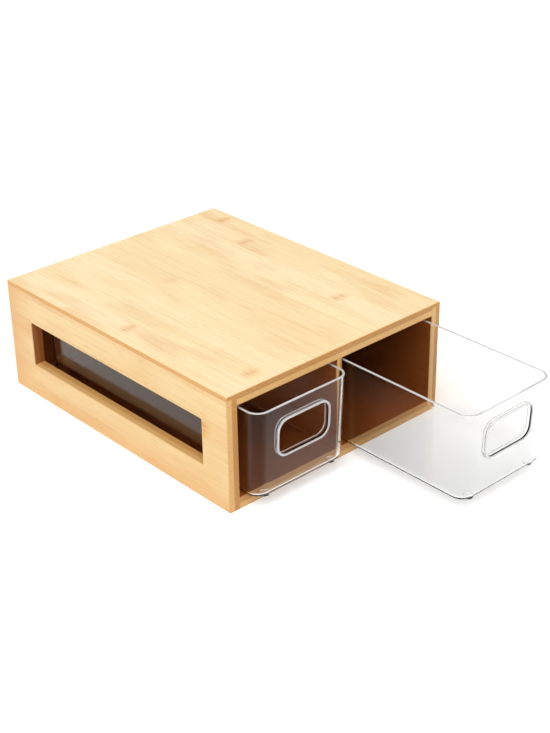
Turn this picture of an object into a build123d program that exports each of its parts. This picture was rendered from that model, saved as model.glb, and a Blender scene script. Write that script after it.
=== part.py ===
from build123d import *
from math import atan2, cos, sin, tan
import os

os.makedirs("parts", exist_ok=True)

# Tea bag drawer box: a bamboo case with two clear moulded drawers side by side.
# Millimetres. X runs along the front to the right, Y from front to back, Z up.
# The origin is the middle of the underside of the case, which stands on it.

# ---------------------------------------------------------------- case sizes
case_width = 231.0
case_depth = 285.0
case_height = 100.0
top_thickness = 10.0
bottom_thickness = 10.0
side_thickness = 10.0
back_thickness = 8.0
divider_thickness = 5.0

# The top laps over the side boards, so its upper part shows as a thin line of edge.
lap_thickness = 3.0
# The back board sits in a step cut into the rear of each side board.
back_step = 5.0

# The divider stands in a groove in the top and in the bottom board. Both grooves
# stop short of the front, so the front edges look unbroken.
groove_depth = 3.0
groove_stop = 8.0

# Window in the left side board, by the board left standing round it
window_front_margin = 30.0
window_rear_margin = 32.0
window_sill = 30.0
window_head = 30.0
window_corner = 1.0

# Sanded edges
top_round = 1.2
corner_round = 1.0
joint_break = 0.4
opening_break = 0.5

# Wooden dowels between the side boards and the bottom board
dowel_diameter = 5.0
dowel_length = 20.0
dowel_in_side = 7.0
dowel_count = 3
dowel_end_margin = 30.0
glue_clearance = 0.1
glue_space = 1.0

# -------------------------------------------------------------- drawer sizes
# A drawer has this much room beside it, over its rim and behind it in its bay.
drawer_side_gap = 3.0
drawer_top_gap = 3.5
drawer_end_gap = 5.0
drawer_wall = 2.0
wall_corner = 11.5
side_draft = 1.0
end_draft = 3.5
base_round = 4.0
rim_break = 0.5

foot_height = 1.0
foot_diameter = 8.0
foot_side_inset = 14.0
foot_end_inset = 9.0

# Finger hole in the front wall, with a raised collar round it
hole_width = 51.0
hole_height = 30.0
hole_corner = 8.5
collar_wall = 2.0
collar_proud = 0.8
collar_depth = 5.3
collar_break = 0.6
hole_below_rim = 29.5

# How far each drawer stands out of the case
left_pull_out = 18.0
right_pull_out = 127.0

# --------------------------------------------------------- derived positions
front_y = -case_depth / 2
rear_y = case_depth / 2
back_front_y = rear_y - back_thickness
side_inner_x = case_width / 2 - side_thickness
bay_width = side_inner_x - divider_thickness / 2
bay_centre_x = (side_inner_x + divider_thickness / 2) / 2
bay_floor_z = bottom_thickness
bay_ceiling_z = case_height - top_thickness
side_height = case_height - lap_thickness
middle_y = (front_y + rear_y) / 2
bay_depth = back_front_y - front_y
bay_middle_y = (front_y + back_front_y) / 2
window_length = case_depth - window_front_margin - window_rear_margin
window_height = case_height - window_sill - window_head
drawer_width = bay_width - 2 * drawer_side_gap
drawer_length = bay_depth - drawer_end_gap
drawer_height = bay_ceiling_z - bay_floor_z - foot_height - drawer_top_gap
dowel_z = bottom_thickness / 2
dowel_in_bottom = dowel_length - dowel_in_side
dowel_pitch = (bay_depth - 2 * dowel_end_margin) / (dowel_count - 1)
dowel_bore = dowel_diameter / 2 + glue_clearance


def export_piece(builder, label):
    """Label a finished piece and write it as one STEP file."""
    builder.part.label = label
    export_step(builder.part, f"parts/{label}.step")


# ----------------------------------------------------------------- top board
with BuildPart() as top_panel:
    with BuildSketch(Plane.XY.offset(side_height)):
        with Locations((0, middle_y)):
            Rectangle(case_width, case_depth)
    extrude(amount=lap_thickness)
    fillet(top_panel.edges().filter_by(Axis.Z), radius=corner_round)
    fillet(top_panel.faces().sort_by(Axis.Z)[-1].edges(), radius=top_round)
    side_joint_edges = top_panel.faces().sort_by(Axis.Z)[0].edges().filter_by(Axis.Y)
    chamfer(side_joint_edges, length=joint_break)
    # The lower part of the board fits between the side boards.
    with BuildSketch(Plane.XY.offset(side_height)):
        with Locations((0, middle_y)):
            Rectangle(2 * side_inner_x, case_depth)
    extrude(amount=bay_ceiling_z - side_height)
    # Groove for the divider
    with BuildSketch(Plane.XY.offset(bay_ceiling_z)):
        with Locations((0, front_y + groove_stop)):
            Rectangle(divider_thickness, bay_depth - groove_stop, align=(Align.CENTER, Align.MIN))
    extrude(amount=groove_depth, mode=Mode.SUBTRACT)
export_piece(top_panel, "top_panel")


# -------------------------------------------------------------- bottom board
with BuildPart() as bottom_panel:
    with BuildSketch(Plane.XY):
        with Locations((0, bay_middle_y)):
            Rectangle(2 * side_inner_x, bay_depth)
    extrude(amount=bottom_thickness)
    with BuildSketch(Plane.XY.offset(bottom_thickness)):
        with Locations((0, front_y + groove_stop)):
            Rectangle(divider_thickness, bay_depth - groove_stop, align=(Align.CENTER, Align.MIN))
    extrude(amount=-groove_depth, mode=Mode.SUBTRACT)
    # Bores for the dowels, in both side edges
    for direction in (-1, 1):
        with BuildSketch(Plane.YZ.offset(direction * side_inner_x)):
            with Locations((bay_middle_y, dowel_z)):
                with GridLocations(dowel_pitch, 1, dowel_count, 1):
                    Circle(dowel_bore)
        extrude(amount=-direction * (dowel_in_bottom + glue_space), mode=Mode.SUBTRACT)
export_piece(bottom_panel, "bottom_panel")


# --------------------------------------------------------------- side boards
def build_side(label, direction, has_window):
    """Make one side board; direction is -1 for the left one and 1 for the right one."""
    outer_x = direction * case_width / 2
    with BuildPart() as side:
        with BuildSketch(Plane.YZ.offset(outer_x)):
            with Locations((middle_y, 0)):
                Rectangle(case_depth, side_height, align=(Align.CENTER, Align.MIN))
        extrude(amount=-direction * side_thickness)
        outer_face = side.faces().filter_by(Axis.X).sort_by(Axis.X)[0 if direction < 0 else -1]
        upright_edges = outer_face.edges().filter_by(Axis.Z)
        foot_edge = outer_face.edges().filter_by(Axis.Y).sort_by(Axis.Z)[0]
        fillet(upright_edges + [foot_edge], radius=corner_round)
        outer_face = side.faces().filter_by(Axis.X).sort_by(Axis.X)[0 if direction < 0 else -1]
        chamfer(outer_face.edges().filter_by(Axis.Y).sort_by(Axis.Z)[-1], length=joint_break)
        # Step for the back board, which stops under the top board
        with BuildSketch(Plane.YZ.offset(direction * side_inner_x)):
            with Locations((rear_y, 0)):
                Rectangle(back_thickness, bay_ceiling_z, align=(Align.MAX, Align.MIN))
        extrude(amount=direction * back_step, mode=Mode.SUBTRACT)
        # Blind bores for the dowels, from the inner face
        with BuildSketch(Plane.YZ.offset(direction * side_inner_x)):
            with Locations((bay_middle_y, dowel_z)):
                with GridLocations(dowel_pitch, 1, dowel_count, 1):
                    Circle(dowel_bore)
        extrude(amount=direction * dowel_in_side, mode=Mode.SUBTRACT)
        if has_window:
            window_middle_y = front_y + window_front_margin + window_length / 2
            window_middle_z = window_sill + window_height / 2
            with BuildSketch(Plane.YZ.offset(outer_x)):
                with Locations((window_middle_y, window_middle_z)):
                    RectangleRounded(window_length, window_height, window_corner)
            extrude(amount=-direction * side_thickness, mode=Mode.SUBTRACT)
            window_edges = side.edges().filter_by_position(
                Axis.Z, window_sill, window_sill + window_height
            ).filter_by_position(Axis.X, outer_x, outer_x)
            chamfer(window_edges, length=opening_break)
    export_piece(side, label)
    return side


left_side_panel = build_side("left_side_panel", -1, True)
right_side_panel = build_side("right_side_panel", 1, False)


# ---------------------------------------------------------------- back board
with BuildPart() as back_panel:
    with BuildSketch(Plane.XZ.offset(-back_front_y)):
        Rectangle(2 * (side_inner_x + back_step), bay_ceiling_z, align=(Align.CENTER, Align.MIN))
    extrude(amount=-back_thickness)
export_piece(back_panel, "back_panel")


# ------------------------------------------------------------------- divider
with BuildPart() as divider:
    with BuildSketch(Plane.YZ.offset(-divider_thickness / 2)):
        with BuildLine():
            Polyline(
                (front_y, bay_floor_z),
                (front_y + groove_stop, bay_floor_z),
                (front_y + groove_stop, bay_floor_z - groove_depth),
                (back_front_y, bay_floor_z - groove_depth),
                (back_front_y, bay_ceiling_z + groove_depth),
                (front_y + groove_stop, bay_ceiling_z + groove_depth),
                (front_y + groove_stop, bay_ceiling_z),
                (front_y, bay_ceiling_z),
                close=True,
            )
        make_face()
    extrude(amount=divider_thickness)
    front_edges = divider.faces().sort_by(Axis.Y)[0].edges().filter_by(Axis.Z)
    fillet(front_edges, radius=opening_break)
export_piece(divider, "divider")


# -------------------------------------------------------------------- dowels
with BuildPart() as base_dowels:
    for direction in (-1, 1):
        with BuildSketch(Plane.YZ.offset(direction * (side_inner_x + dowel_in_side))):
            with Locations((bay_middle_y, dowel_z)):
                with GridLocations(dowel_pitch, 1, dowel_count, 1):
                    Circle(dowel_diameter / 2)
        extrude(amount=-direction * dowel_length)
export_piece(base_dowels, "base_dowels")


# ------------------------------------------------------------------- drawers
def drafted_profile(rim_length, draft):
    """Give the corners of an upright profile, shorter at the base by the draft at each end."""
    rim_reach = rim_length / 2
    base_reach = rim_reach - draft
    return [
        (-base_reach, 0),
        (base_reach, 0),
        (rim_reach, drawer_height),
        (-rim_reach, drawer_height),
    ]


def build_drawer(label, centre_x, pull_out):
    """Make one clear drawer whose front rim stands pull_out ahead of the case."""
    base_z = bay_floor_z + foot_height
    rim_z = base_z + drawer_height
    rim_front_y = front_y - pull_out
    base_centre = (centre_x, rim_front_y + drawer_length / 2, base_z)
    base_plane = Plane(origin=base_centre)
    with BuildPart() as drawer:
        # Drafted body: the profile seen from the side, cut to the one seen from the front
        with BuildSketch(Plane(origin=base_centre, x_dir=(0, 1, 0), z_dir=(1, 0, 0))):
            with BuildLine():
                Polyline(drafted_profile(drawer_length, end_draft), close=True)
            make_face()
        extrude(amount=drawer_width, both=True)
        with BuildSketch(Plane(origin=base_centre, x_dir=(1, 0, 0), z_dir=(0, -1, 0))):
            with BuildLine():
                Polyline(drafted_profile(drawer_width, side_draft), close=True)
            make_face()
        extrude(amount=drawer_length, both=True, mode=Mode.INTERSECT)
        fillet(drawer.edges().group_by(Axis.Z)[1], radius=wall_corner)
        fillet(drawer.faces().sort_by(Axis.Z)[0].edges(), radius=base_round)
        # Hollow, with one wall thickness all round and an open top
        offset(amount=-drawer_wall, openings=drawer.faces().sort_by(Axis.Z)[-1])
        chamfer(drawer.faces().sort_by(Axis.Z)[-1].edges(), length=rim_break)
        # Collar and finger hole, square to the drafted front wall
        lean = atan2(end_draft, drawer_height)
        hole_plane = Plane(
            origin=(centre_x, rim_front_y + hole_below_rim * tan(lean), rim_z - hole_below_rim),
            x_dir=(1, 0, 0),
            z_dir=(0, -cos(lean), -sin(lean)),
        ).offset(collar_proud)
        with BuildSketch(hole_plane):
            RectangleRounded(
                hole_width + 2 * collar_wall,
                hole_height + 2 * collar_wall,
                hole_corner + collar_wall,
            )
        extrude(amount=-collar_depth)
        with BuildSketch(hole_plane):
            RectangleRounded(hole_width, hole_height, hole_corner)
        extrude(amount=-collar_depth, mode=Mode.SUBTRACT)
        # Softened lips at both ends of the collar
        for lip_plane in (hole_plane, hole_plane.offset(-collar_depth)):
            lip_centre = lip_plane.origin
            lip_face = drawer.faces().sort_by(lambda face: (face.center() - lip_centre).length)[0]
            chamfer(lip_face.edges(), length=collar_break)
        # Small round feet near the corners of the base
        with BuildSketch(base_plane):
            with GridLocations(
                drawer_width - 2 * foot_side_inset, drawer_length - 2 * foot_end_inset, 2, 2
            ):
                Circle(foot_diameter / 2)
        extrude(amount=-foot_height)
    export_piece(drawer, label)
    return drawer


left_drawer = build_drawer("left_drawer", -bay_centre_x, left_pull_out)
right_drawer = build_drawer("right_drawer", bay_centre_x, right_pull_out)
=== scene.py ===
"""Tea bag drawer box: a bamboo case with two clear moulded drawers, dressed for rendering."""

import logging
import math
from dataclasses import dataclass, field, replace
from enum import Enum
from typing import Any, Callable

import bmesh
import bpy
from mathutils import Matrix, Vector


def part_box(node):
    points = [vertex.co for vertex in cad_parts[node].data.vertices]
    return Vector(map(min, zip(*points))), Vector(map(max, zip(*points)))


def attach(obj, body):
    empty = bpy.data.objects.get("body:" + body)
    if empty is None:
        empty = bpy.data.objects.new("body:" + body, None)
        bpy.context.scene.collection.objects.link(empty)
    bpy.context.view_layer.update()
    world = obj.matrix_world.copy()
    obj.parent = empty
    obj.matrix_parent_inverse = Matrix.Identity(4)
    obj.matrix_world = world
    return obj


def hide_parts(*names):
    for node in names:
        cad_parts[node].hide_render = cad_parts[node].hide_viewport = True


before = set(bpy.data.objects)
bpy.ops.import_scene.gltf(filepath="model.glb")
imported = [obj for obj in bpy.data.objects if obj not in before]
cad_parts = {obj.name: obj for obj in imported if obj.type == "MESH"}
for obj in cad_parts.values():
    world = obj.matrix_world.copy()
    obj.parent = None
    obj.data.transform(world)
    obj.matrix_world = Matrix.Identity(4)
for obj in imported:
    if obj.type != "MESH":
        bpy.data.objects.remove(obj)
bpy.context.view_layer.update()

LOG = logging.getLogger("tea_box")
MM = 0.001
CASE_FRONT_Y = -142.5 * MM
# How far from the middle each bay's centre lies, and how far out each drawer stands at rest.
BAY_CENTRE_X = 54 * MM
LEFT_OUT = 18 * MM
RIGHT_OUT = 127 * MM


# ------------------------------------------------------------------ shared choices and helpers
class Lay(Enum):
    """How a board lies: the coordinates along its fibres, across its strips and through it."""

    FLAT = (1, 0, 2)
    UPRIGHT = (1, 2, 0)
    CROSSWISE = (0, 2, 1)


class Joining(Enum):
    """What a Boolean modifier does with the tool mesh."""

    UNION = "UNION"
    DIFFERENCE = "DIFFERENCE"


class Element(Enum):
    """The kinds of mesh element that can be selected in edit mode."""

    VERTICES = "VERT"
    EDGES = "EDGE"
    FACES = "FACE"


Source = bpy.types.Node | bpy.types.NodeSocket
Colour = tuple[float, float, float, float]


def linear(code: str) -> Colour:
    """Turn an sRGB hex colour into the linear values that the shaders work with.

    Args:
        code: Six hex digits, such as "F3D9A6".

    Returns:
        Linear red, green and blue, and an alpha of one.
    """
    shares = [int(code[start : start + 2], 16) / 255 for start in (0, 2, 4)]
    values = [v / 12.92 if v <= 0.04045 else ((v + 0.055) / 1.055) ** 2.4 for v in shares]
    return (values[0], values[1], values[2], 1.0)


def add_node(
    tree: bpy.types.NodeTree, kind: str, inputs: dict[Any, Any] | None = None, **settings: Any
) -> bpy.types.Node:
    """Add one node with its settings and links.

    Args:
        tree: The node tree that gets the node.
        kind: Blender's name for the type of node, without its prefix.
        inputs: By an input's name or number, its value, or the output that feeds it. A node
            stands for the first of its outputs that is in use.
        settings: Values of the node's own properties.

    Returns:
        The new node.
    """
    node = tree.nodes.new(f"ShaderNode{kind}")
    for name, value in settings.items():
        setattr(node, name, value)
    for key, value in (inputs or {}).items():
        named = [socket for socket in node.inputs if socket.enabled and socket.name == key]
        target = named[0] if named else node.inputs[key]
        if isinstance(value, bpy.types.Node):
            value = next(socket for socket in value.outputs if socket.enabled)
        if isinstance(value, bpy.types.NodeSocket):
            tree.links.new(value, target)
        else:
            target.default_value = value
    return node


def paint(
    tree: bpy.types.NodeTree, ground: Source | Colour, layers: list[tuple[Source, Source | str]]
) -> Source:
    """Lay colours over a ground one after another.

    Args:
        tree: The node tree that gets the layers.
        ground: The colour underneath, as a node or as linear values.
        layers: For each layer, how much of it shows, and its colour as a node or a hex code.

    Returns:
        The node that holds the finished colour.
    """
    for share, colour in layers:
        top = linear(colour) if isinstance(colour, str) else colour
        ground = add_node(
            tree, "Mix", {"Factor": share, "A": ground, "B": top}, data_type="RGBA"
        )
    return ground


def shows_background(tree: bpy.types.NodeTree) -> Source:
    """Tell the rays by which the background is seen, straight or by way of a shiny surface.

    Args:
        tree: The node tree that asks.

    Returns:
        A node that gives one for camera, glossy and transmitted rays and zero for others.
    """
    ray = add_node(tree, "LightPath").outputs
    shiny = add_node(
        tree, "Math", {0: ray["Is Glossy Ray"], 1: ray["Is Transmission Ray"]}, operation="MAXIMUM"
    )
    return add_node(tree, "Math", {0: ray["Is Camera Ray"], 1: shiny}, operation="MAXIMUM")


def new_material(name: str) -> tuple[bpy.types.Material, bpy.types.NodeTree]:
    """Make an empty node material.

    Args:
        name: The plain name of the real material.

    Returns:
        The material and its node tree.
    """
    material = bpy.data.materials.new(name)
    material.use_nodes = True
    material.node_tree.nodes.clear()
    return material, material.node_tree


def dress(piece: bpy.types.Object, material: bpy.types.Material) -> None:
    """Give a piece one material all over."""
    piece.data.materials.clear()
    piece.data.materials.append(material)


def deselect_all() -> None:
    """Leave object mode with nothing selected."""
    if bpy.context.mode != "OBJECT":
        bpy.ops.object.mode_set(mode="OBJECT")
    bpy.ops.object.select_all(action="DESELECT")


def make_active(piece: bpy.types.Object) -> None:
    """Select one piece alone and make it the active one."""
    deselect_all()
    piece.select_set(True)
    bpy.context.view_layer.objects.active = piece


def pick(piece: bpy.types.Object, element: Element, test: Callable[[Any], bool]) -> int:
    """Select the elements of a piece in edit mode that pass a test.

    Args:
        piece: The piece, which is in edit mode.
        element: Whether vertices, edges or faces are picked.
        test: Says whether one element is picked.

    Returns:
        How many elements were picked.
    """
    bpy.ops.mesh.select_mode(type=element.value)
    bpy.ops.mesh.select_all(action="DESELECT")
    mesh = bmesh.from_edit_mesh(piece.data)
    elements = {
        Element.VERTICES: mesh.verts,
        Element.EDGES: mesh.edges,
        Element.FACES: mesh.faces,
    }[element]
    picked = [item for item in elements if test(item)]
    for item in picked:
        item.select_set(True)
    bmesh.update_edit_mesh(piece.data)
    return len(picked)


def apply_boolean(piece: bpy.types.Object, tool: bpy.types.Object, joining: Joining) -> None:
    """Join a tool mesh to a piece or cut it out of it, and remove the tool.

    Args:
        piece: The piece that is changed.
        tool: The mesh that is joined or cut out.
        joining: Whether the tool is joined or cut out.
    """
    make_active(piece)
    modifier = piece.modifiers.new("joined", "BOOLEAN")
    modifier.operation = joining.value
    modifier.solver = "EXACT"
    modifier.object = tool
    bpy.ops.object.modifier_apply(modifier=modifier.name)
    bpy.data.objects.remove(tool)


def rounded_block(name: str, size: Vector, corner: float, segments: int) -> bpy.types.Object:
    """Make a block centred on the origin whose four edges along Y are rounded.

    Args:
        name: The name of the block.
        size: Its full size.
        corner: The radius of the rounded edges.
        segments: The number of flats in each rounded edge.

    Returns:
        The block's object.
    """
    deselect_all()
    bpy.ops.mesh.primitive_cube_add(size=1.0, scale=size)
    block = bpy.context.active_object
    block.name = name
    bpy.ops.object.transform_apply(location=True, rotation=True, scale=True)
    bpy.ops.object.mode_set(mode="EDIT")
    pick(
        block,
        Element.EDGES,
        lambda edge: abs((edge.verts[0].co - edge.verts[1].co).y) > size.y / 2,
    )
    bpy.ops.mesh.bevel(offset=corner, segments=segments, affect="EDGES", clamp_overlap=False)
    return block


# --------------------------------------------------------------------------------- finishes
@dataclass(frozen=True)
class BambooFinish:
    """Strip-laminated bamboo, sanded and sprayed with a clear satin lacquer.

    Strips of the plant's wall are glued side by side, so the eye sees straight bands of
    slightly different straw tones, fine fibres along them, a brown mark where a strip passes
    a node of the stalk, and small dark dots on the sawn ends.
    """

    name: str
    lay: Lay
    low: Vector
    high: Vector
    # Which way along its thickness the board faces into the case; 0 is both ways.
    inner_side: float
    seed: float
    pale: str = "FBE4B4"
    straw: str = "F9E0AC"
    honey: str = "F5D69C"
    fibre: str = "DDAC62"
    blotch: str = "E09A4A"
    mark: str = "C47A34"
    dash: str = "C6924C"
    edge_high: str = "DFA65C"
    edge_low: str = "EFC07A"
    end_high: str = "CC9048"
    end_low: str = "E9B872"
    dots: str = "9A6732"
    # Painted shade on the end grain of an opening's jambs.
    jamb_shade: str = "8F4A1A"
    # Painted shade on the lower and rear parts of an upright board.
    lower_rear_shade: str = "E3A458"
    # A thin line of painted shade along the broken edges.
    edge_shade: str = "D08F48"
    # Painted shade on the faces inside the case, and on their fibres.
    inner_shade: str = "B06026"
    inner_shade_fibre: str = "83400F"
    # How strongly painted shade deepens the lower and rear parts of the board.
    lower_rear_shade_depth: float = 0.0
    # Strips are ripped about 20 mm wide; a stalk has a node about every 230 mm.
    strip_width: float = 20 * MM
    node_spacing: float = 230 * MM

    def on_board(self, place: Vector) -> Vector:
        """Turn a place into distances along the board's fibres, across them and through it."""
        return Vector([place[index] for index in self.lay.value])

    def board_vector(self, tree: bpy.types.NodeTree, vector: bpy.types.NodeSocket) -> Source:
        """Turn a vector of the object into one along, across and through the board.

        Args:
            tree: The material's node tree.
            vector: The vector in the object's directions.

        Returns:
            The node that holds the turned vector.
        """
        parts = add_node(tree, "SeparateXYZ", {"Vector": vector}).outputs
        along, across, through = self.lay.value
        return add_node(
            tree, "CombineXYZ", {"X": parts[along], "Y": parts[across], "Z": parts[through]}
        )

    def strips(self, tree: bpy.types.NodeTree, board: Source) -> dict[str, Source]:
        """Divide the board into strips and each strip into lengths of stalk.

        Args:
            tree: The material's node tree.
            board: The place along, across and through the board.

        Returns:
            A random number for each strip and each length of stalk, and how far from the
            middle of its strip and its length a place lies.
        """
        parts = add_node(tree, "SeparateXYZ", {"Vector": board}).outputs
        strip = add_node(
            tree,
            "Math",
            {0: parts["Y"], 1: 1 / self.strip_width, 2: 0.37 + self.seed},
            operation="MULTIPLY_ADD",
        )
        strip_number = add_node(tree, "Math", {0: strip}, operation="FLOOR")
        # The seed is scaled so that no two boards share their strips.
        strip_key = add_node(
            tree, "Math", {0: strip_number, 1: self.seed * 7.31 + 0.5}, operation="ADD"
        )
        strip_chance = add_node(tree, "TexWhiteNoise", {"W": strip_key}, noise_dimensions="1D")
        # Each strip comes from another place on its stalk.
        shift = add_node(tree, "Math", {0: strip_chance, 1: 9.7}, operation="MULTIPLY")
        stalk = add_node(
            tree,
            "Math",
            {0: parts["X"], 1: 1 / self.node_spacing, 2: shift},
            operation="MULTIPLY_ADD",
        )
        stalk_number = add_node(tree, "Math", {0: stalk}, operation="FLOOR")
        strip_middle = add_node(tree, "Math", {0: strip_number, 1: 0.5}, operation="ADD")
        cell = add_node(
            tree, "CombineXYZ", {"X": strip_middle, "Y": stalk_number, "Z": self.seed + 0.5}
        )
        stalk_chance = add_node(tree, "TexWhiteNoise", {"Vector": cell})
        found: dict[str, Source] = {"strip_chance": strip_chance, "stalk_chance": stalk_chance}
        for name, count in (("strip_offset", strip), ("stalk_offset", stalk)):
            share = add_node(tree, "Math", {0: count}, operation="FRACT")
            offset = add_node(tree, "Math", {0: share, 1: 0.5}, operation="SUBTRACT")
            found[name] = add_node(tree, "Math", {0: offset}, operation="ABSOLUTE")
        return found

    def grain(
        self,
        tree: bpy.types.NodeTree,
        board: Source,
        strip_chance: Source,
        size: tuple[float, float],
        detail: float,
    ) -> Source:
        """Lay a random pattern that is drawn out along the fibres and differs on each strip.

        Args:
            tree: The material's node tree.
            board: The place along, across and through the board.
            strip_chance: The random number of each strip.
            size: The length and the width of the pattern's grain.
            detail: How many finer patterns lie on the first.

        Returns:
            The node that holds the pattern, from zero to one.
        """
        length, width = size
        drawn_out = add_node(
            tree, "Mapping", {"Vector": board, "Scale": (1 / length, 1 / width, 1 / width)}
        )
        # Strips lie far enough apart in the pattern's fourth direction to share nothing.
        offset = add_node(tree, "Math", {0: strip_chance, 1: 50.0}, operation="MULTIPLY")
        return add_node(
            tree,
            "TexNoise",
            {"Vector": drawn_out, "W": offset, "Scale": 1.0, "Detail": detail, "Roughness": 0.6},
            noise_dimensions="4D",
        )

    def strip_colour(
        self, tree: bpy.types.NodeTree, strips: dict[str, Source], drift: Source
    ) -> Source:
        """Colour the strips, each in its own straw tone that drifts along it.

        Args:
            tree: The material's node tree.
            strips: The strips of the board.
            drift: The slow pattern that the tone follows.

        Returns:
            The node that holds the colour.
        """
        slow = add_node(tree, "MapRange", {"Value": drift, "From Min": 0.28, "From Max": 0.72})
        own = add_node(tree, "Math", {0: strips["strip_chance"], 1: 0.45}, operation="MULTIPLY")
        tone = add_node(tree, "Math", {0: slow, 1: 0.55, 2: own}, operation="MULTIPLY_ADD")
        ramp = add_node(tree, "ValToRGB", {"Fac": tone})
        first, last = ramp.color_ramp.elements
        first.color, first.position = linear(self.pale), 0.1
        last.color, last.position = linear(self.honey), 0.95
        ramp.color_ramp.elements.new(0.5).color = linear(self.straw)
        return ramp

    def node_marks(
        self, tree: bpy.types.NodeTree, strips: dict[str, Source], dashes: Source
    ) -> list[tuple[Source, str]]:
        """Mark the stalk's nodes: a soft blotch round a broken thin line.

        Args:
            tree: The material's node tree.
            strips: The strips of the board.
            dashes: The fine pattern that breaks the line.

        Returns:
            The layers to paint.
        """
        # Only a few lengths of stalk show a mark, because the others are planed away.
        chosen = add_node(
            tree,
            "MapRange",
            {"Value": strips["stalk_chance"], "From Min": 0.5, "From Max": 0.75},
        )
        inside_strip = add_node(
            tree,
            "MapRange",
            {"Value": strips["strip_offset"], "From Min": 0.5, "From Max": 0.2},
            interpolation_type="SMOOTHSTEP",
        )
        shown = add_node(tree, "Math", {0: chosen, 1: inside_strip}, operation="MULTIPLY")
        wobble = add_node(
            tree, "Math", {0: dashes, 1: 16 * MM, 2: -6.5 * MM}, operation="MULTIPLY_ADD"
        )
        gap = add_node(
            tree,
            "Math",
            {0: strips["stalk_offset"], 1: self.node_spacing, 2: wobble},
            operation="MULTIPLY_ADD",
        )
        layers = []
        for reach, depth, stain in ((11 * MM, 0.5, self.blotch), (1.8 * MM, 0.36, self.mark)):
            near = add_node(
                tree,
                "MapRange",
                {"Value": gap, "From Min": reach, "From Max": 0.0, "To Max": depth},
                interpolation_type="SMOOTHSTEP",
            )
            share = add_node(tree, "Math", {0: near, 1: shown}, operation="MULTIPLY")
            layers.append((share, stain))
        return layers

    def edge_distances(self, tree: bpy.types.NodeTree, board: Source) -> dict[str, Source]:
        """Measure how far a place lies from the board's outer faces.

        Args:
            tree: The material's node tree.
            board: The place along, across and through the board.

        Returns:
            The distances from the rear end, from the lower edge, from the nearer end and
            from the nearest edge.
        """
        low, high = self.on_board(self.low), self.on_board(self.high)
        to_high = add_node(tree, "VectorMath", {0: high, 1: board}, operation="SUBTRACT")
        to_low = add_node(tree, "VectorMath", {0: board, 1: low}, operation="SUBTRACT")
        both = add_node(tree, "VectorMath", {0: to_high, 1: to_low}, operation="MINIMUM")
        nearer = add_node(tree, "SeparateXYZ", {"Vector": both}).outputs
        # On an edge two of the three distances are small, so the second smallest counts.
        small = add_node(tree, "Math", {0: nearer["X"], 1: nearer["Y"]}, operation="MINIMUM")
        large = add_node(tree, "Math", {0: nearer["X"], 1: nearer["Y"]}, operation="MAXIMUM")
        other = add_node(tree, "Math", {0: large, 1: nearer["Z"]}, operation="MINIMUM")
        return {
            "rear": add_node(tree, "SeparateXYZ", {"Vector": to_high}).outputs["X"],
            "lower": add_node(tree, "SeparateXYZ", {"Vector": to_low}).outputs["Y"],
            "end": nearer["X"],
            "edge": add_node(tree, "Math", {0: small, 1: other}, operation="MAXIMUM"),
        }

    def painted_lower_rear_shade(
        self, tree: bpy.types.NodeTree, distances: dict[str, Source]
    ) -> list[tuple[Source, str]]:
        """Paint shade over the lower and rear parts of an upright board, where less light falls.

        Args:
            tree: The material's node tree.
            distances: How far a place lies from the board's outer faces.

        Returns:
            The layers to paint: one, or none on a board without painted shade.
        """
        if not self.lower_rear_shade_depth:
            return []
        lower = add_node(tree, "Math", {0: distances["lower"], 1: 14 * MM}, operation="ADD")
        nearest = add_node(tree, "Math", {0: distances["rear"], 1: lower}, operation="MINIMUM")
        share = add_node(
            tree,
            "MapRange",
            {"Value": nearest, "From Min": 45 * MM, "From Max": -10 * MM, "To Max": self.lower_rear_shade_depth},
            interpolation_type="SMOOTHSTEP",
        )
        return [(share, self.lower_rear_shade)]

    def sawn_colours(
        self, tree: bpy.types.NodeTree, board: Source, fibres: Source, end_distance: Source
    ) -> tuple[Source, Source]:
        """Colour the sawn edges and ends, which show the board's two plies.

        Args:
            tree: The material's node tree.
            board: The place along, across and through the board.
            fibres: How much of the fibre colour shows.
            end_distance: How far a place lies from the nearer end of the board.

        Returns:
            The colour of the long edges and the colour of the ends.
        """
        middle = self.on_board((self.low + self.high) / 2).z
        depth = add_node(tree, "SeparateXYZ", {"Vector": board}).outputs["Z"]
        glue = 0.15 * MM
        upper = add_node(
            tree,
            "MapRange",
            {"Value": depth, "From Min": middle - glue, "From Max": middle + glue},
        )
        # Fibre bundles cut across are dots 1.3 mm apart; real ones are half that.
        bundles = add_node(
            tree, "TexVoronoi", {"Vector": board, "Scale": 1 / (1.3 * MM), "Randomness": 0.9}
        )
        dots = add_node(
            tree, "MapRange", {"Value": bundles, "From Min": 0.38, "From Max": 0.12, "To Max": 0.45}
        )
        # End grain away from the board's ends, on the jambs of its opening, gets painted shade.
        jamb_shade_share = add_node(
            tree,
            "MapRange",
            {"Value": end_distance, "From Min": 8 * MM, "From Max": 16 * MM, "To Max": 0.85},
        )
        edges = paint(tree, linear(self.edge_low), [(upper, self.edge_high), (fibres, self.fibre)])
        ends = paint(
            tree,
            linear(self.end_low),
            [(upper, self.end_high), (dots, self.dots), (jamb_shade_share, self.jamb_shade)],
        )
        return edges, ends

    def facings(self, tree: bpy.types.NodeTree, normal: bpy.types.NodeSocket) -> list[Source]:
        """Tell the board's ends, its long edges and its faces inside the case apart.

        Args:
            tree: The material's node tree.
            normal: The direction that the surface faces.

        Returns:
            For the ends, the edges and the inner faces, a node that gives one there and zero
            elsewhere.
        """
        parts = add_node(tree, "SeparateXYZ", {"Vector": self.board_vector(tree, normal)}).outputs
        sizes = [add_node(tree, "Math", {0: part}, operation="ABSOLUTE") for part in parts]
        if self.inner_side:
            sizes[2] = add_node(
                tree, "Math", {0: parts["Z"], 1: self.inner_side}, operation="MULTIPLY"
            )
        return [
            add_node(
                tree,
                "MapRange",
                {"Value": size, "From Min": 0.55, "From Max": 0.85},
                interpolation_type="SMOOTHSTEP",
            )
            for size in sizes
        ]

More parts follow.
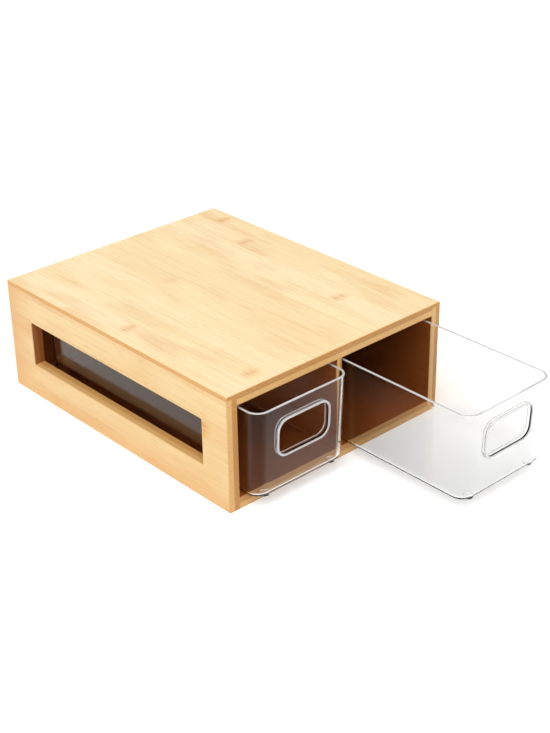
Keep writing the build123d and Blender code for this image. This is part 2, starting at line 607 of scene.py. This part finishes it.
    def patterns(
        self, tree: bpy.types.NodeTree, board: Source, chance: Source
    ) -> tuple[dict[str, Source], list[Source]]:
        """Lay the board's random patterns, and work out how much of each one shows.

        Args:
            tree: The material's node tree.
            board: The place along, across and through the board.
            chance: The random number of each strip.

        Returns:
            The patterns by name, and the shares of the fibres, the dashes and the clouds.
        """
        # The tone drifts over about a hand's width; clouds show the pith side of a strip.
        drift = self.grain(tree, board, chance, (90 * MM, 40 * MM), 1.0)
        clouds = self.grain(tree, board, chance, (75 * MM, 16 * MM), 2.0)
        # Fibre streaks are drawn 1.8 mm wide; real bundles are a third of that and would not
        # show. Short dark dashes are open vessels, 18 mm long and drawn 0.9 mm wide.
        streaks = self.grain(tree, board, chance, (60 * MM, 1.8 * MM), 5.0)
        dashes = self.grain(tree, board, chance, (18 * MM, 0.9 * MM), 1.0)
        shares = [
            add_node(
                tree,
                "MapRange",
                {"Value": pattern, "From Min": start, "From Max": end, "To Max": depth},
            )
            for pattern, start, end, depth in (
                (streaks, 0.5, 0.78, 0.5),
                (dashes, 0.64, 0.78, 0.42),
                (clouds, 0.52, 0.74, 0.36),
            )
        ]
        return {"drift": drift, "streaks": streaks, "dashes": dashes}, shares

    def material(self) -> bpy.types.Material:
        """Build the material.

        Returns:
            The finished material.
        """
        material, tree = new_material(self.name)
        place = add_node(tree, "TexCoord").outputs
        board = self.board_vector(tree, place["Object"])
        strips = self.strips(tree, board)
        found, shares = self.patterns(tree, board, strips["strip_chance"])
        streaks = found["streaks"]
        # The glue line between two strips is a thin darker line.
        seam = add_node(
            tree,
            "MapRange",
            {
                "Value": strips["strip_offset"],
                "From Min": 0.5 - 0.4 * MM / self.strip_width,
                "From Max": 0.5,
                "To Max": 0.12,
            },
        )
        distances = self.edge_distances(tree, board)
        face = paint(
            tree,
            self.strip_colour(tree, strips, found["drift"]),
            [
                *zip(shares, (self.fibre, self.dash, self.blotch)),
                *self.node_marks(tree, strips, found["dashes"]),
                (seam, self.mark),
                *self.painted_lower_rear_shade(tree, distances),
            ],
        )
        # The faces inside the case get a deep brown of painted shade, where little light reaches.
        inner = paint(tree, linear(self.inner_shade), [(shares[0], self.inner_shade_fibre)])
        edges, ends = self.sawn_colours(tree, board, shares[0], distances["end"])
        on_end, on_edge, on_inside = self.facings(tree, place["Normal"])
        # A thin line of painted shade runs along the broken edges, for the contact shadow at the
        # bottom and the shade in the joints.
        near_edge = add_node(
            tree,
            "MapRange",
            {"Value": distances["edge"], "From Min": 1.2 * MM, "From Max": 0.2 * MM, "To Max": 0.8},
            interpolation_type="SMOOTHSTEP",
        )
        edge_shade_share = add_node(tree, "Math", {0: near_edge, 1: streaks}, operation="MULTIPLY")
        colour = paint(
            tree,
            face,
            [(on_inside, inner), (on_edge, edges), (on_end, ends), (edge_shade_share, self.edge_shade)],
        )
        groove = add_node(tree, "Math", {0: seam, 1: 2.0}, operation="MULTIPLY")
        height = add_node(tree, "Math", {0: streaks, 1: groove}, operation="SUBTRACT")
        bump = add_node(tree, "Bump", {"Height": height, "Strength": 0.25, "Distance": 0.12 * MM})
        roughness = add_node(
            tree, "Math", {0: streaks, 1: 0.16, 2: 0.34}, operation="MULTIPLY_ADD"
        )
        shader = add_node(
            tree,
            "BsdfPrincipled",
            {
                "Base Color": colour,
                "Roughness": roughness,
                "Normal": bump,
                "IOR": 1.5,
                "Coat Weight": 0.18,
                "Coat Roughness": 0.28,
            },
        )
        add_node(tree, "OutputMaterial", {"Surface": shader})
        return material


@dataclass(frozen=True)
class BeechFinish:
    """Turned beech, left raw: pinkish tan with short dark flecks along the grain."""

    name: str = "turned_raw_beech"
    ground: str = "DDB58A"
    fleck: str = "B98555"

    def material(self) -> bpy.types.Material:
        """Build the material.

        Returns:
            The finished material.
        """
        material, tree = new_material(self.name)
        place = add_node(tree, "TexCoord").outputs["Object"]
        # Flecks are about 3 mm long and 0.5 mm wide, along the dowels' length.
        drawn_out = add_node(tree, "Mapping", {"Vector": place, "Scale": (1 / 3, 2.0, 2.0)})
        flecks = add_node(
            tree, "TexNoise", {"Vector": drawn_out, "Scale": 1 / MM, "Detail": 3.0}
        )
        share = add_node(tree, "MapRange", {"Value": flecks, "From Min": 0.48, "From Max": 0.7})
        colour = paint(tree, linear(self.ground), [(share, self.fleck)])
        bump = add_node(tree, "Bump", {"Height": flecks, "Strength": 0.3, "Distance": 0.1 * MM})
        shader = add_node(
            tree, "BsdfPrincipled", {"Base Color": colour, "Roughness": 0.62, "Normal": bump}
        )
        add_node(tree, "OutputMaterial", {"Surface": shader})
        return material


@dataclass(frozen=True)
class ClearPlasticFinish:
    """Injection-moulded clear acrylic.

    The tool is polished, so the eye sees clean reflections and bright bent lines at rims and
    corners. Slow ripples of the melt and a faint haze from wiping keep it from looking like
    cut glass.
    """

    name: str = "clear_moulded_acrylic"
    tint: str = "FFFFFF"
    # Below white, it thins the reflected veil that would hide what lies behind the walls.
    sheen: str = "707070"
    refraction: float = 1.49
    clarity: float = 1.0
    smoothest: float = 0.01
    haziest: float = 0.05

    def material(self) -> bpy.types.Material:
        """Build the material.

        Returns:
            The finished material.
        """
        material, tree = new_material(self.name)
        place = add_node(tree, "TexCoord").outputs["Object"]
        # Melt ripples are about 25 mm long; wiping haze comes in patches about 12 mm across.
        ripples = add_node(
            tree, "TexNoise", {"Vector": place, "Scale": 1 / (25 * MM), "Detail": 1.0}
        )
        haze = add_node(tree, "TexNoise", {"Vector": place, "Scale": 1 / (12 * MM), "Detail": 4.0})
        roughness = add_node(
            tree,
            "MapRange",
            {
                "Value": haze,
                "From Min": 0.3,
                "From Max": 0.75,
                "To Min": self.smoothest,
                "To Max": self.haziest,
            },
        )
        bump = add_node(tree, "Bump", {"Height": ripples, "Strength": 0.12, "Distance": 0.3 * MM})
        shader = add_node(
            tree,
            "BsdfPrincipled",
            {
                "Base Color": linear(self.tint),
                "Roughness": roughness,
                "Normal": bump,
                "IOR": self.refraction,
                "Specular Tint": linear(self.sheen),
                "Transmission Weight": self.clarity,
            },
        )
        add_node(tree, "OutputMaterial", {"Surface": shader})
        return material


@dataclass(frozen=True)
class PaperFloorFinish:
    """Seamless white background paper: matt, with a faint mottle of its fibres."""

    name: str = "white_background_paper"
    sheet: str = "FBFBFA"
    fibre: str = "F6F6F5"
    lift: float = 0.24

    def material(self) -> bpy.types.Material:
        """Build the material.

        Returns:
            The finished material.
        """
        material, tree = new_material(self.name)
        place = add_node(tree, "TexCoord").outputs["Object"]
        mottle = add_node(tree, "TexNoise", {"Vector": place, "Scale": 1 / (4 * MM), "Detail": 3.0})
        colour = paint(tree, linear(self.sheet), [(mottle, self.fibre)])
        sheet = add_node(tree, "BsdfDiffuse", {"Color": colour, "Roughness": 0.5})
        # A little glow for the rays that show the background lifts the far paper to white.
        strength = add_node(
            tree, "Math", {0: shows_background(tree), 1: self.lift}, operation="MULTIPLY"
        )
        glow = add_node(tree, "Emission", {"Strength": strength})
        both = add_node(tree, "AddShader", {0: sheet, 1: glow})
        add_node(tree, "OutputMaterial", {"Surface": both})
        return material


# ------------------------------------------------------------------------------ sub-assemblies
@dataclass
class BambooCase:
    """The fixed case: top, bottom, two sides, back and divider boards, with hidden dowels."""

    # How each board lies, and which way along its thickness it faces into the case
    boards: dict[str, tuple[Lay, float]] = field(
        default_factory=lambda: {
            "top_panel": (Lay.FLAT, -1.0),
            "bottom_panel": (Lay.FLAT, 1.0),
            "left_side_panel": (Lay.UPRIGHT, 1.0),
            "right_side_panel": (Lay.UPRIGHT, -1.0),
            "back_panel": (Lay.CROSSWISE, -1.0),
            "divider": (Lay.UPRIGHT, 0.0),
        }
    )

    def finish_of(self, number: int, node: str) -> BambooFinish:
        """Describe the bamboo of one board.

        Args:
            number: The board's place in the list, which sets its random pattern.
            node: The board's CAD node.

        Returns:
            The board's finish.
        """
        lay, inner_side = self.boards[node]
        low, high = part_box(node)
        finish = BambooFinish(
            f"strip_laminated_bamboo_{node}", lay, low, high, inner_side, float(number)
        )
        if node == "top_panel":
            return finish
        # The other boards are of slightly deeper strips than the top, with painted shade on their
        # lower and rear parts.
        return replace(finish, pale="F8DCA6", straw="F4D297", honey="EDC382", lower_rear_shade_depth=0.75)

    def build(self) -> None:
        """Dress the boards and the dowels."""
        for number, node in enumerate(self.boards):
            dress(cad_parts[node], self.finish_of(number, node).material())
            LOG.info("dressed %s", node)
        dress(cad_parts["base_dowels"], BeechFinish().material())
        LOG.info("dressed base_dowels")


@dataclass
class ClearDrawer:
    """One clear drawer: a drafted thin-walled tub with a collared finger hole and four feet."""

    side: str
    centre_x: float
    rim_front_y: float
    width: float = 97 * MM
    length: float = 272 * MM
    height: float = 75.5 * MM
    base_z: float = 11 * MM
    wall: float = 2 * MM
    wall_corner: float = 11.5 * MM
    side_draft: float = 1.0 * MM
    end_draft: float = 3.5 * MM
    base_round: float = 4 * MM
    rim_round: float = 0.75 * MM
    hole_width: float = 51 * MM
    hole_height: float = 30 * MM
    hole_corner: float = 8.5 * MM
    hole_below_rim: float = 29.5 * MM
    collar_wall: float = 2 * MM
    collar_proud: float = 0.8 * MM
    collar_depth: float = 5.3 * MM
    lip_round: float = 0.7 * MM
    foot_height: float = 0.95 * MM
    foot_radius: float = 4 * MM
    foot_side_inset: float = 14 * MM
    foot_end_inset: float = 9 * MM
    foot_round: float = 0.35 * MM
    # How far a foot reaches into the base, so that the two join as one body.
    foot_sink: float = 0.6 * MM
    # How deep the block that opens the wall is; it only has to pass through the wall.
    cutter_depth: float = 12 * MM
    # Edges that meet at less than this are shaded as one surface.
    smooth_angle: float = math.radians(38)
    wall_segments: int = 12
    base_segments: int = 6
    lip_segments: int = 4
    foot_segments: int = 3

    @property
    def rim_z(self) -> float:
        """Give the height of the rim."""
        return self.base_z + self.height

    @property
    def lean(self) -> float:
        """Give the angle by which the front wall leans out towards its rim."""
        return math.atan2(self.end_draft, self.height)

    def tub(self) -> bpy.types.Object:
        """Model the drafted body with its rounded corners, base and rim.

        Returns:
            The body's object.
        """
        centre = Vector(
            (self.centre_x, self.rim_front_y + self.length / 2, self.base_z + self.height / 2)
        )
        deselect_all()
        bpy.ops.mesh.primitive_cube_add(
            size=1.0, location=centre, scale=(self.width, self.length, self.height)
        )
        tub = bpy.context.active_object
        tub.name = f"clear_{self.side}_drawer"
        bpy.ops.object.transform_apply(location=True, rotation=True, scale=True)
        bpy.ops.object.mode_set(mode="EDIT")
        pick(tub, Element.FACES, lambda face: face.normal.z < -0.9)
        taper = (1 - 2 * self.side_draft / self.width, 1 - 2 * self.end_draft / self.length, 1.0)
        bpy.ops.transform.resize(value=taper, center_override=(centre.x, centre.y, self.base_z))
        pick(
            tub,
            Element.EDGES,
            lambda edge: abs((edge.verts[0].co - edge.verts[1].co).z) > self.height / 2,
        )
        bpy.ops.mesh.bevel(
            offset=self.wall_corner,
            segments=self.wall_segments,
            affect="EDGES",
            clamp_overlap=False,
        )
        pick(tub, Element.FACES, lambda face: face.normal.z < -0.9)
        bpy.ops.mesh.region_to_loop()
        bpy.ops.mesh.bevel(
            offset=self.base_round,
            segments=self.base_segments,
            affect="EDGES",
            clamp_overlap=False,
        )
        pick(tub, Element.FACES, lambda face: face.normal.z > 0.9)
        bpy.ops.mesh.delete(type="FACE")
        deselect_all()
        make_active(tub)
        shell = tub.modifiers.new("wall", "SOLIDIFY")
        shell.thickness = self.wall
        shell.offset = -1.0
        shell.use_even_offset = True
        bpy.ops.object.modifier_apply(modifier=shell.name)
        bpy.ops.object.mode_set(mode="EDIT")
        pick(
            tub,
            Element.EDGES,
            lambda edge: sum(face.normal.z > 0.9 for face in edge.link_faces) == 1
            and min(vert.co.z for vert in edge.verts) > self.rim_z - self.wall / 2,
        )
        bpy.ops.mesh.bevel(
            offset=self.rim_round,
            segments=self.lip_segments,
            affect="EDGES",
            clamp_overlap=False,
        )
        deselect_all()
        return tub

    def place_on_front(self, piece: bpy.types.Object, set_back: float) -> None:
        """Turn a piece square to the front wall and put it in the middle of the finger hole.

        Args:
            piece: A piece made round the origin with its depth along Y.
            set_back: How far its middle lies behind the wall's outer face.
        """
        wall_y = self.rim_front_y + self.hole_below_rim * math.tan(self.lean)
        inward = Vector((0.0, math.cos(self.lean), math.sin(self.lean)))
        hole_centre = Vector((self.centre_x, wall_y, self.rim_z - self.hole_below_rim))
        piece.location = hole_centre + set_back * inward
        piece.rotation_euler = (self.lean, 0.0, 0.0)
        make_active(piece)
        bpy.ops.object.transform_apply(location=True, rotation=True, scale=True)

    def hole_cutter(self) -> bpy.types.Object:
        """Make the block that opens the wall, up to the middle of the collar's own wall.

        Returns:
            The block's object.
        """
        size = Vector(
            (
                self.hole_width + self.collar_wall,
                self.cutter_depth,
                self.hole_height + self.collar_wall,
            )
        )
        corner = self.hole_corner + self.collar_wall / 2
        cutter = rounded_block("hole_cutter", size, corner, self.wall_segments)
        deselect_all()
        self.place_on_front(cutter, self.wall / 2)
        return cutter

    def collar(self) -> bpy.types.Object:
        """Model the raised collar round the finger hole, with rounded lips.

        Returns:
            The collar's object.
        """
        size = Vector(
            (
                self.hole_width + 2 * self.collar_wall,
                self.collar_depth,
                self.hole_height + 2 * self.collar_wall,
            )
        )
        corner = self.hole_corner + self.collar_wall
        collar = rounded_block("collar", size, corner, self.wall_segments)
        pick(collar, Element.FACES, lambda face: abs(face.normal.y) > 0.9)
        bpy.ops.mesh.inset(thickness=self.collar_wall, use_individual=True)
        bpy.ops.mesh.bridge_edge_loops()
        half = self.collar_depth / 2
        pick(
            collar,
            Element.EDGES,
            lambda edge: sum(abs(face.normal.y) > 0.9 for face in edge.link_faces) == 1
            and all(abs(abs(vert.co.y) - half) < 0.01 * MM for vert in edge.verts),
        )
        bpy.ops.mesh.bevel(
            offset=self.lip_round,
            segments=self.lip_segments,
            affect="EDGES",
            clamp_overlap=False,
        )
        bpy.ops.mesh.select_all(action="SELECT")
        bpy.ops.mesh.normals_make_consistent(inside=False)
        deselect_all()
        self.place_on_front(collar, half - self.collar_proud)
        return collar

    def feet(self) -> bpy.types.Object:
        """Model one small round foot and copy it to the four corners of the base.

        Returns:
            The object that holds the four feet.
        """
        depth = self.foot_height + self.foot_sink
        deselect_all()
        bpy.ops.mesh.primitive_cylinder_add(vertices=32, radius=self.foot_radius, depth=depth)
        first = bpy.context.active_object
        first.name = "feet"
        bpy.ops.object.mode_set(mode="EDIT")
        pick(first, Element.FACES, lambda face: face.normal.z < -0.9)
        bpy.ops.mesh.region_to_loop()
        bpy.ops.mesh.bevel(offset=self.foot_round, segments=self.foot_segments, affect="EDGES")
        deselect_all()
        reach_x = self.width / 2 - self.foot_side_inset
        reach_y = self.length / 2 - self.foot_end_inset
        middle_y = self.rim_front_y + self.length / 2
        middle_z = self.base_z + self.foot_sink - depth / 2
        corners = [(sx, sy) for sx in (-1, 1) for sy in (-1, 1)]
        copies = [first] + [first.copy() for _ in corners[1:]]
        for copy, (sx, sy) in zip(copies, corners):
            if copy is not first:
                copy.data = first.data.copy()
                bpy.context.scene.collection.objects.link(copy)
            copy.location = (self.centre_x + sx * reach_x, middle_y + sy * reach_y, middle_z)
        for copy in copies:
            copy.select_set(True)
        bpy.context.view_layer.objects.active = first
        bpy.ops.object.join()
        bpy.ops.object.transform_apply(location=True, rotation=True, scale=True)
        return first

    def gets_rim_highlight(self, place: Vector) -> bool:
        """Tell whether a place lies on the rounded rim or on a lip of the collar.

        Args:
            place: The middle of a face of the finished drawer.

        Returns:
            True on the rim and the collar's lips, which get a painted highlight.
        """
        if place.z > self.rim_z - self.rim_round:
            return True
        wall_y = self.rim_front_y + self.hole_below_rim * math.tan(self.lean)
        offset = place - Vector((self.centre_x, wall_y, self.rim_z - self.hole_below_rim))
        depth = offset.y * math.cos(self.lean) + offset.z * math.sin(self.lean)
        reach = self.hole_width / 2 + self.collar_wall
        front = -self.collar_proud
        rear = front + self.collar_depth
        near_lip = depth < front + self.lip_round or depth > rear - self.lip_round
        return abs(offset.x) < reach and front - 0.1 * MM < depth < rear + 0.1 * MM and near_lip

    def build(
        self, material: bpy.types.Material, lip_material: bpy.types.Material
    ) -> bpy.types.Object:
        """Model and dress the drawer in place of its CAD node.

        Args:
            material: The clear plastic.
            lip_material: The same plastic, partly milky, as a painted highlight on the rim and the
                collar's lips.

        Returns:
            The finished drawer.
        """
        drawer = self.tub()
        apply_boolean(drawer, self.hole_cutter(), Joining.DIFFERENCE)
        apply_boolean(drawer, self.collar(), Joining.UNION)
        apply_boolean(drawer, self.feet(), Joining.UNION)
        make_active(drawer)
        bpy.ops.object.shade_smooth_by_angle(angle=self.smooth_angle)
        even = drawer.modifiers.new("even_shading", "WEIGHTED_NORMAL")
        even.keep_sharp = True
        bpy.ops.object.modifier_apply(modifier=even.name)
        dress(drawer, material)
        drawer.data.materials.append(lip_material)
        for face in drawer.data.polygons:
            face.material_index = int(self.gets_rim_highlight(face.center))
        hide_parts(f"{self.side}_drawer")
        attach(drawer, f"{self.side}_drawer")
        LOG.info("built %s with %d faces", drawer.name, len(drawer.data.polygons))
        return drawer


# ------------------------------------------------------------------------------------- studio
@dataclass
class Studio:
    """The plain pale floor, the soft light and the camera."""

    camera_place: Vector
    yaw: float = math.radians(42.077)
    pitch: float = math.radians(28.239)
    roll: float = math.radians(-0.963)
    lens: float = 71.913
    world_level: float = 0.78
    floor_size: float = 16.0
    # The floor lies this far under the case, so that the two don't share a plane.
    floor_gap: float = 0.05 * MM
    # Rays bounce often inside the clear walls before they leave by a rim or a corner.
    bounces: int = 32

    def floor(self) -> None:
        """Lay the floor just under the case."""
        deselect_all()
        bpy.ops.mesh.primitive_plane_add(
            size=self.floor_size, location=(0.0, 0.0, -self.floor_gap)
        )
        floor = bpy.context.active_object
        floor.name = "floor"
        bpy.ops.object.transform_apply(location=True, rotation=True, scale=True)
        dress(floor, PaperFloorFinish().material())

    def sky(self) -> None:
        """Light the scene evenly, and show white wherever nothing else is seen."""
        world = bpy.data.worlds.new("soft_white_room")
        bpy.context.scene.world = world
        world.use_nodes = True
        tree = world.node_tree
        tree.nodes.clear()
        strength = add_node(
            tree, "MapRange", {"Value": shows_background(tree), "To Min": self.world_level}
        )
        light = add_node(tree, "Background", {"Color": linear("FFFFFF"), "Strength": strength})
        add_node(tree, "OutputWorld", {"Surface": light})

    def lamp(self, name: str, place: Vector, size: float, power: float) -> None:
        """Hang one soft square lamp that looks at the case.

        Args:
            name: The lamp's name.
            place: Where it hangs.
            size: The length of its side.
            power: Its power in watts.
        """
        data = bpy.data.lights.new(name, "AREA")
        data.shape = "SQUARE"
        data.size = size
        data.energy = power
        lamp = bpy.data.objects.new(name, data)
        lamp.location = place
        aim = Vector((0.0, -0.05, 0.05)) - place
        lamp.rotation_euler = aim.to_track_quat("-Z", "Y").to_euler()
        bpy.context.scene.collection.objects.link(lamp)

    def camera(self) -> None:
        """Set up the camera at the place and angle fitted to the photograph."""
        ahead = Vector(
            (
                math.sin(self.yaw) * math.cos(self.pitch),
                math.cos(self.yaw) * math.cos(self.pitch),
                -math.sin(self.pitch),
            )
        )
        level = Vector((math.cos(self.yaw), -math.sin(self.yaw), 0.0))
        upright = level.cross(ahead)
        right = math.cos(self.roll) * level + math.sin(self.roll) * upright
        up = -math.sin(self.roll) * level + math.cos(self.roll) * upright
        data = bpy.data.cameras.new("photo_camera")
        data.lens = self.lens
        data.sensor_width = 36.0
        data.clip_start = 0.01
        camera = bpy.data.objects.new("photo_camera", data)
        turn = Matrix((right, up, -ahead)).transposed()
        camera.matrix_world = Matrix.Translation(self.camera_place) @ turn.to_4x4()
        bpy.context.scene.collection.objects.link(camera)
        bpy.context.scene.camera = camera

    def build(self) -> None:
        """Set up the floor, the light and the camera."""
        bpy.context.scene.view_settings.view_transform = "Standard"
        bpy.context.scene.cycles.max_bounces = self.bounces
        bpy.context.scene.cycles.transmission_bounces = self.bounces
        self.floor()
        self.sky()
        self.lamp("key_lamp", Vector((-2.0, -1.6, 3.2)), 2.6, 68.0)
        self.camera()
        LOG.info("studio ready")


def main() -> None:
    """Build the whole scene in order."""
    logging.basicConfig(level=logging.INFO, format="%(name)s: %(message)s")
    Studio(camera_place=Vector((-0.7057, -0.8495, 0.6197))).build()
    BambooCase().build()
    plastic = ClearPlasticFinish().material()
    # Rims and collar lips get a partly milky copy of the plastic, a painted highlight that shows
    # them as pale lines.
    lips = ClearPlasticFinish(
        name="clear_moulded_acrylic_painted_rim_highlight",
        clarity=0.46,
        smoothest=0.12,
        haziest=0.25,
    ).material()
    ClearDrawer("left", -BAY_CENTRE_X, CASE_FRONT_Y - LEFT_OUT).build(plastic, lips)
    ClearDrawer("right", BAY_CENTRE_X, CASE_FRONT_Y - RIGHT_OUT).build(plastic, lips)


if __name__ == "__main__":
    main()
